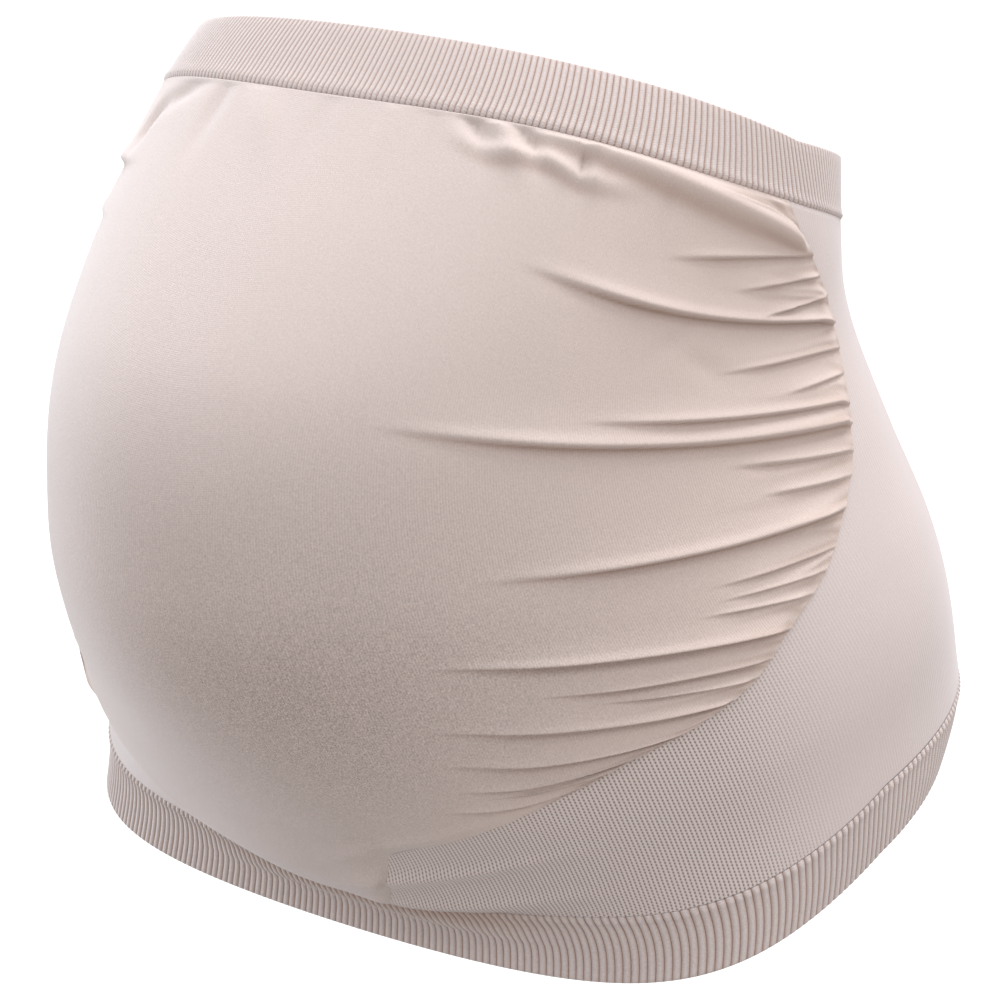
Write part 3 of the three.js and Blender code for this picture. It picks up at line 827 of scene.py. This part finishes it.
def gather_lift(side, course, seed):
    """Lift and tuck mark of the fine gathers at one seam: short pleats of uneven size and spacing,
    each of which drops at its lower edge, with painted shade under it, and dies away from the seam."""
    random = np.random.default_rng(seed)
    spacing = (np.arange(GATHERS) + 0.5 + random.uniform(-0.35, 0.35, GATHERS)) / GATHERS
    lengths = random.uniform(0.06, 0.26, GATHERS)
    rises = random.uniform(0.0004, 0.0014, GATHERS)
    slants = random.uniform(-0.02, 0.04, GATHERS)
    lift = np.zeros(side.shape)
    tuck = np.zeros(side.shape)
    for seam, length, rise, slant in zip(spacing, lengths, rises, slants):
        run = np.clip((side - (1 - length)) / length, 0, 1)
        offset = (course - seam - slant * (1 - run)) * GATHERS
        pleat = np.exp(-(offset / np.where(offset > 0, 0.8, 0.3))**2)
        lift += rise * run * pleat
        tuck = np.maximum(tuck, 0.5 * run**2 * np.exp(-((offset + 0.45) / 0.25)**2))
    return lift, tuck


def wrinkle_lift(across, course):
    """Lift of the soft wrinkles: each a bell, longer than it is wide, turned about its middle."""
    lift = np.zeros(across.shape)
    for at, height, long, wide, turn, rise in WRINKLES:
        x = (across - at) * PANEL_HEIGHT
        y = (course - height) * PANEL_HEIGHT
        turn = np.radians(turn)
        along = x * np.cos(turn) + y * np.sin(turn)
        off = y * np.cos(turn) - x * np.sin(turn)
        lift += rise * np.exp(-(along / long)**2 - (off / wide)**2)
    return lift


def cloth_places():
    """Way across, from -1 to 1, and course, from 0 to 1, of the points of the panel's outer face. Part
    of the way across follows a sine, so that the columns lie closer by the seams."""
    even = np.linspace(-1, 1, BELLY_COLUMNS)
    crowded = CROWDED_SHARE * np.sin(np.pi / 2 * even) + (1 - CROWDED_SHARE) * even
    across = np.broadcast_to(crowded, (BELLY_ROWS, BELLY_COLUMNS))
    course = np.broadcast_to(np.linspace(0, 1, BELLY_ROWS)[:, None], across.shape)
    return across, course


def all_folds(across, course):
    """Lift and tuck mark of all that is gathered, folded or rolled: lifts add up, and the darkest
    painted crease shade of a place counts."""
    hidden = tuple((seam, tip, HIDDEN_REACH * reach, width, rise)
                   for seam, tip, reach, width, rise in FOLDS[:-LEFT_ONLY_FOLDS])
    parts = (
        fold_lift(across, course, FOLDS),
        fold_lift(-across, course, hidden + RIGHT_FOLDS),
        roll_lift(across, course, RIDGE),
        roll_lift(across, course, ROLL),
        pocket_lift(across, course),
        gather_lift(across, course, LEFT_GATHER_SEED),
        gather_lift(-across, course, RIGHT_GATHER_SEED),
    )
    return sum(lift for lift, _ in parts), np.max([tuck for _, tuck in parts], axis=0)


def lower_front_bell(across, course, relaxed):
    """Mark of a darker, more speckled tone: a bell about the belly's lower front, on the wearer's
    left of the middle, which is weaker where the cloth is relaxed."""
    bell = np.exp(-((course - 0.34) / 0.26)**2 - ((across - 0.30) / 0.45)**2)
    return (1 - 0.40 * relaxed) * (0.1 + 0.9 * bell)


def belly_panel():
    """Panel between the two gathered seams. A course of stitches runs from seam to seam, and its
    height goes from the middle to the ends as a power of the way across. In front and on the hidden
    side the lowest courses are drawn down to one low line, where the pouch hangs over the band."""
    across, course = cloth_places()
    side = np.abs(across)
    middle = seam_value("middle", course)
    share = middle + (seam_value("height", course) - middle) * side ** seam_value("bend", course)
    share = share - (1 - soft_step(0, 0.5, course)) * SEAM_LAP / SIDE_HEIGHT
    pouch = soft_step(-1.0, -0.40, across) * (1 - soft_step(0.18, 0.34, across))
    pouch = pouch * (1 - soft_step(0, 0.18, course))
    share = share - pouch * (share[:1] - POUCH_SHARE)
    angle = np.radians(seam_value("angle", course)) * across
    angle = angle + np.sign(angle) * soft_step(0.9, 1, side) * SEAM_LAP / (HIP_WIDTH / 2)
    drop, roll_over = overhang(angle, share)
    level = panel_level(angle, share - drop)
    folded, tuck = all_folds(across, course)
    free = soft_step(0, 0.02, course) * soft_step(0, 0.010, 1 - course)
    sewn = 1 - 0.7 * soft_step(0.965, 1, side)
    hem = (1 - soft_step(0, 0.01, course)) + soft_step(0.985, 1, side)
    merged = soft_step(0, 0.12, across) * (1 - soft_step(0.36, 0.52, across))
    step = SEAM_STEP - MERGE_DROP * merged
    lift = folded * free * sewn + step * np.clip(hem, 0, 1)
    hanging = POUCH_LIFT * pouch * (0.15 + 0.85 * soft_step(0, 0.03, course))
    base = hanging + roll_over + strain_lift(angle, share)
    lift = lift + wrinkle_lift(across, course) * free + base
    depth = (PANEL_WALL + MILLIMETRE) * (1 - np.clip(hem, 0, 1))
    outer = lifted_point(angle, level, lift)
    inner = lifted_point(angle, level, base - depth)
    grid = both_faces(outer, inner, BELLY_INNER_STEP)
    knit = knit_numbers(angle, level)
    knit = both_faces(knit, knit, BELLY_INNER_STEP)
    knit = np.concatenate([knit, knit[:1]], axis=0)
    # Painted shadow along the pouch's lower edge in front, where it hangs over the lower band
    low_edge_shade = 0.4 * belly_front(angle) * (1 - soft_step(0, 0.010, share)) * (1 - merged)
    tuck = np.maximum(tuck * free, low_edge_shade)
    relaxed = soft_step(0.15, 0.9, side)
    grain = lower_front_bell(across, course, relaxed)
    marks = {
        "tuck": both_faces(tuck, tuck * 0, BELLY_INNER_STEP),
        "relaxed": both_faces(relaxed, relaxed, BELLY_INNER_STEP),
        "grain": both_faces(grain, grain, BELLY_INNER_STEP),
    }
    return cloth_object("belly_panel_knit", grid, knit, True, False, marks)


def fuzz_group():
    """Fuzz of brushed yarn: fine noise on object coordinates, as a height from 0 to 1."""
    tree = bpy.data.node_groups.new("yarn_fuzz", "ShaderNodeTree")
    socket(tree, "Height", "OUTPUT")
    result = tree.nodes.new("NodeGroupOutput")
    place = tree.nodes.new("ShaderNodeTexCoord")
    noise = tree.nodes.new("ShaderNodeTexNoise")
    noise.inputs["Scale"].default_value = 900
    noise.inputs["Detail"].default_value = 3
    noise.inputs["Roughness"].default_value = 0.6
    tree.links.new(place.outputs["Object"], noise.inputs["Vector"])
    tree.links.new(noise.outputs["Fac"], result.inputs["Height"])
    return tree


def jersey_material():
    """Fine jersey: narrow upright wales with small stitches. The yarn looks warmer where the cloth is
    relaxed by the seams, with painted shade, warm and dark, down in the tucks. It is darker and more
    speckled over the belly's lower front, and darker between the stitches, most there."""
    material, tree, shader = cloth_material("fine_jersey")
    stitches = placed(tree, STITCHES, Wales_per_rib=3.0, Courses_per_mm=1.3, Lean=0.5)
    fuzz = placed(tree, fuzz_group())
    yarn = tree.nodes.new("ShaderNodeMix")
    yarn.data_type = "RGBA"
    tree.links.new(mark_output(tree, "relaxed"), yarn.inputs["Factor"])
    yarn.inputs["A"].default_value = YARN
    yarn.inputs["B"].default_value = RELAXED_YARN
    lower_front_tone = tree.nodes.new("ShaderNodeMix")
    lower_front_tone.data_type = "RGBA"
    tree.links.new(mark_output(tree, "grain"), lower_front_tone.inputs["Factor"])
    tree.links.new(yarn.outputs["Result"], lower_front_tone.inputs["A"])
    lower_front_tone.inputs["B"].default_value = LOWER_FRONT_YARN
    # Painted shade from the tuck mark: creases, the feet of rolls and gathers, and the pouch's lower edge
    tuck = math_node(tree, "MULTIPLY", mark_output(tree, "tuck"), 0.75)
    gap = math_node(tree, "SUBTRACT", 1.0, stitches.outputs["Height"])
    open_cloth = math_node(tree, "MULTIPLY_ADD", mark_output(tree, "grain"), 0.22, 0.05)
    between = math_node(tree, "MULTIPLY", gap, open_cloth)
    depth = math_node(tree, "MAXIMUM", math_node(tree, "ADD", tuck, between), 0.0)
    speckle = math_node(tree, "MULTIPLY_ADD", mark_output(tree, "grain"), 1.4, 0.1)
    tone = placed(tree, TONE, Yarn=lower_front_tone.outputs["Result"], Deep=PAINTED_SHADE_BROWN, Depth=depth, Cloud=0.05,
                  Speckle=speckle)
    tree.links.new(tone.outputs["Color"], shader.inputs["Base Color"])
    height = math_node(tree, "MULTIPLY_ADD", stitches.outputs["Height"], 0.45, fuzz.outputs["Height"])
    bump(tree, shader, height, distance=0.00014, strength=0.8)
    return material


belly = belly_panel()
belly.data.materials.append(jersey_material())
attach(belly, "root")
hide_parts("belly_panel")

# Upper ribbed band. The same doubled, ribbed welt as the lower one, knitted last, that sits under the
# bust line. It has the same number of ribs on a shorter way round, so they lie closer together.
upper_band = rib_band("upper_rib_band_knit", UPPER_BAND_HEIGHT, upper=True)
upper_band.data.materials.append(RIB_KNIT)
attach(upper_band, "root")
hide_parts("upper_rib_band")

# Studio. A pale floor under the belt, two soft lights on the left, one on the right, a broad light from
# above, and a camera at the height and side of the photograph. No part of it belongs to the belt.
FLOOR_DROP = 0.30
FLOOR_SIZE = 30.0
FLOOR_WHITE = 0.65
FLOOR_BOUNCE = 0.39
SOFTBOX_DISTANCE = 1.9
SOFTBOX_SIZE = 1.2
CAMERA_AZIMUTH = np.radians(40.5)
CAMERA_ELEVATION = np.radians(15.0)
CAMERA_DISTANCE = 1.5
CAMERA_RIGHT = -0.0044
CAMERA_UP = -0.0203
CAMERA_LENS = 143.5


def floor():
    """Flat square of matt pale material: white to the camera, and darker to the light that it sends
    back up, as where the backdrop is lit on its own."""
    half = FLOOR_SIZE / 2
    mesh = bpy.data.meshes.new("floor")
    corners = [(-half, -half, -FLOOR_DROP), (half, -half, -FLOOR_DROP),
               (half, half, -FLOOR_DROP), (-half, half, -FLOOR_DROP)]
    mesh.from_pydata(corners, [], [(0, 1, 2, 3)])
    obj = bpy.data.objects.new("floor", mesh)
    bpy.context.collection.objects.link(obj)
    material = bpy.data.materials.new("floor_white")
    material.use_nodes = True
    shader = material.node_tree.nodes["Principled BSDF"]
    seen = material.node_tree.nodes.new("ShaderNodeLightPath")
    shade = material.node_tree.nodes.new("ShaderNodeMix")
    shade.data_type = "RGBA"
    shade.inputs["A"].default_value = (FLOOR_BOUNCE, FLOOR_BOUNCE * 0.95, FLOOR_BOUNCE * 0.9, 1)
    shade.inputs["B"].default_value = (FLOOR_WHITE, FLOOR_WHITE, FLOOR_WHITE, 1)
    material.node_tree.links.new(seen.outputs["Is Camera Ray"], shade.inputs["Factor"])
    material.node_tree.links.new(shade.outputs["Result"], shader.inputs["Base Color"])
    shader.inputs["Roughness"].default_value = 0.9
    shader.inputs["Specular IOR Level"].default_value = 0.1
    mesh.materials.append(material)
    return obj


def direction(azimuth, elevation):
    """Unit direction out from the belt at an azimuth from the front and an elevation, in radians."""
    return np.array([np.sin(azimuth) * np.cos(elevation), -np.cos(azimuth) * np.cos(elevation),
                     np.sin(elevation)])


def soft_light(name, azimuth, elevation, power, tint=(1, 1, 1)):
    """Square area light that looks at the belt from a direction given in degrees."""
    data = bpy.data.lights.new(name, "AREA")
    data.shape = "SQUARE"
    data.size = SOFTBOX_SIZE
    data.energy = power
    data.color = tint
    obj = bpy.data.objects.new(name, data)
    out = direction(np.radians(azimuth), np.radians(elevation))
    obj.location = out * SOFTBOX_DISTANCE
    obj.rotation_mode = "QUATERNION"
    obj.rotation_quaternion = Vector(-out).to_track_quat("-Z", "Y")
    bpy.context.collection.objects.link(obj)


def overhead_light(azimuth, elevation, spread, power):
    """Broad overhead light as a sun of a wide angle, all in degrees."""
    data = bpy.data.lights.new("overhead", "SUN")
    data.energy = power
    data.angle = np.radians(spread)
    obj = bpy.data.objects.new("overhead", data)
    obj.rotation_mode = "QUATERNION"
    out = direction(np.radians(azimuth), np.radians(elevation))
    obj.rotation_quaternion = Vector(-out).to_track_quat("-Z", "Y")
    bpy.context.collection.objects.link(obj)


def photo_camera():
    """Camera on the sphere round the belt, shifted a little right and up, looking straight in."""
    back = direction(CAMERA_AZIMUTH, CAMERA_ELEVATION)
    right = np.array([np.cos(CAMERA_AZIMUTH), np.sin(CAMERA_AZIMUTH), 0])
    up = np.cross(back, right)
    data = bpy.data.cameras.new("camera")
    data.lens = CAMERA_LENS
    obj = bpy.data.objects.new("camera", data)
    obj.location = back * CAMERA_DISTANCE + right * CAMERA_RIGHT + up * CAMERA_UP
    obj.rotation_mode = "QUATERNION"
    obj.rotation_quaternion = Vector(-back).to_track_quat("-Z", "Y")
    bpy.context.collection.objects.link(obj)
    bpy.context.scene.camera = obj


floor()
soft_light("left_softbox", azimuth=-50, elevation=22, power=6)
soft_light("rim_softbox", azimuth=-84, elevation=6, power=29, tint=(0.84, 0.94, 1.0))
soft_light("right_softbox", azimuth=75, elevation=40, power=11)
overhead_light(azimuth=170, elevation=74, spread=45, power=3.45)
photo_camera()
world = bpy.data.worlds.new("studio")
world.use_nodes = True
world.node_tree.nodes["Background"].inputs["Color"].default_value = (0.975, 0.985, 1.0, 1)
world.node_tree.nodes["Background"].inputs["Strength"].default_value = 0.72
bpy.context.scene.world = world
bpy.context.scene.view_settings.view_transform = "Standard"
